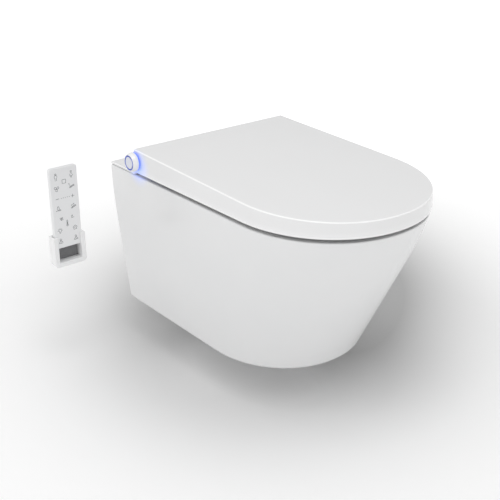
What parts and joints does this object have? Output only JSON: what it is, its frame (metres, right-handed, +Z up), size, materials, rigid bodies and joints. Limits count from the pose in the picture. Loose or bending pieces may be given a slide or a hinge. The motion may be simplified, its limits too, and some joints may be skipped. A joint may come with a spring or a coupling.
{
  "type": "wall-hung shower toilet with electric bidet seat",
  "caption": "Wall-hung toilet pan with built-in electric bidet seat, slim D-shaped lid, lit side knob and docked remote control.",
  "frame": {"origin": "on the pan's wall face, half way between the two fixing studs", "axes": "+Z up; +Y into the wall, so the toilet stands out towards -Y; +X to the right for someone facing the wall, so the knob and the remote are on -X"},
  "size_m": [0.52, 0.6088, 0.3579],
  "materials": {
    "glazed_ceramic": "glossy white glaze",
    "gloss_white": "glossy white",
    "satin_white": "satin white",
    "grey_plastic": "moulded grey",
    "dark_plastic": "moulded dark",
    "steel": "brushed stainless",
    "copper": "copper alloy",
    "circuit_board": "green solder resist",
    "black_rubber": "black rubber",
    "white_rubber": "white rubber",
    "blue_light": "lit translucent blue",
    "pad_grey": "dark grey textured pad"
  },
  "bodies": {
    "root": {"base_tray": "grey_plastic", "cable_gland": "dark_plastic", "ceramic_pan": "glazed_ceramic", "control_board": "circuit_board", "dock_frame": "gloss_white", "dock_pad": "pad_grey", "dryer_heater": "copper", "dryer_housing": "grey_plastic", "dryer_motor": "steel", "fan_frame": "dark_plastic", "filter_cartridge": "dark_plastic", "fixing_block_left": "grey_plastic", "fixing_block_right": "grey_plastic", "fixing_bolt_left": "steel", "fixing_bolt_right": "steel", "flush_seal": "black_rubber", "front_fascia": "gloss_white", "hinge_pin_left": "steel", "hinge_pin_right": "steel", "hose_fitting": "steel", "inlet_valve": "dark_plastic", "knob_base": "gloss_white", "knob_encoder": "dark_plastic", "knob_glow_ring": "blue_light", "lid_damper": "dark_plastic", "night_light_lens": "white_rubber", "nozzle_guide": "grey_plastic", "nozzle_motor": "steel", "power_board": "circuit_board", "rear_cover": "gloss_white", "seat_damper": "dark_plastic", "upper_housing": "gloss_white", "waste_seal": "black_rubber", "water_heater": "copper", "water_pump": "grey_plastic"},
    "seat": {"seat_top_shell": "gloss_white", "seat_bottom_shell": "gloss_white", "seat_heating_mat": "copper", "seat_bumper_front_left": "white_rubber", "seat_bumper_front_right": "white_rubber", "seat_bumper_rear_left": "white_rubber", "seat_bumper_rear_right": "white_rubber"},
    "lid": {"lid_shell": "gloss_white", "lid_bumper_left": "white_rubber", "lid_bumper_right": "white_rubber"},
    "knob": {"knob_dial": "gloss_white", "knob_light_ring": "blue_light"},
    "knob_push": {"knob_button": "satin_white"},
    "spray_arm": {"nozzle_wand": "satin_white", "nozzle_tip": "steel"},
    "pinion": {"nozzle_pinion": "white_rubber"},
    "blower": {"dryer_impeller": "dark_plastic"},
    "air_fan": {"deodoriser_fan": "grey_plastic"},
    "air_flap": {"dryer_flap": "gloss_white"},
    "handset": {"remote_front": "satin_white", "remote_back": "satin_white", "remote_board": "circuit_board", "battery_cell": "steel"},
    "battery_cover": {"battery_door": "satin_white"}
  },
  "joints": [
    {"name": "seat_hinge", "type": "hinge", "parent": "root", "child": "seat", "pos_m": [0, -0.094, 0.11], "axis": [1, 0, 0], "range_deg": [-94, 0]},
    {"name": "lid_hinge", "type": "hinge", "parent": "seat", "child": "lid", "pos_m": [0, -0.094, 0.11], "axis": [-1, 0, 0], "range_deg": [0, 96]},
    {"name": "knob_turn", "type": "hinge", "parent": "root", "child": "knob", "pos_m": [-0.1892, -0.094, 0.11], "axis": [-1, 0, 0], "continuous": true},
    {"name": "knob_push", "type": "slide", "parent": "knob", "child": "knob_push", "axis": [1, 0, 0], "range_m": [0, 0.0012], "stiffness_N_per_m": 1500},
    {"name": "spray_arm_slide", "type": "slide", "parent": "root", "child": "spray_arm", "axis": [0, -0.9848, -0.1736], "range_m": [0, 0.085]},
    {"name": "pinion_turn", "type": "hinge", "parent": "root", "child": "pinion", "pos_m": [0.0147, -0.17439, 0.06651], "axis": [0, -0.1736, 0.9848], "range_deg": [-5, 880]},
    {"name": "blower_spin", "type": "hinge", "parent": "root", "child": "blower", "pos_m": [0.052, -0.142, 0.066], "axis": [1, 0, 0], "continuous": true},
    {"name": "air_fan_spin", "type": "hinge", "parent": "root", "child": "air_fan", "pos_m": [-0.046, -0.14, 0.058], "axis": [1, 0, 0], "continuous": true},
    {"name": "air_flap_hinge", "type": "hinge", "parent": "root", "child": "air_flap", "pos_m": [0.052, -0.1953, 0.0768], "axis": [-1, 0, 0], "range_deg": [0, 60]},
    {"name": "handset_slide", "type": "slide", "parent": "root", "child": "handset", "axis": [0, 0, 1], "range_m": [0, 0.06]},
    {"name": "battery_cover_slide", "type": "slide", "parent": "handset", "child": "battery_cover", "axis": [0, 0, -1], "range_m": [0, 0.01]}
  ],
  "couplings": [
    {"joint": "pinion_turn", "follows": "spray_arm_slide", "rad_per_m": 178.57}
  ]
}
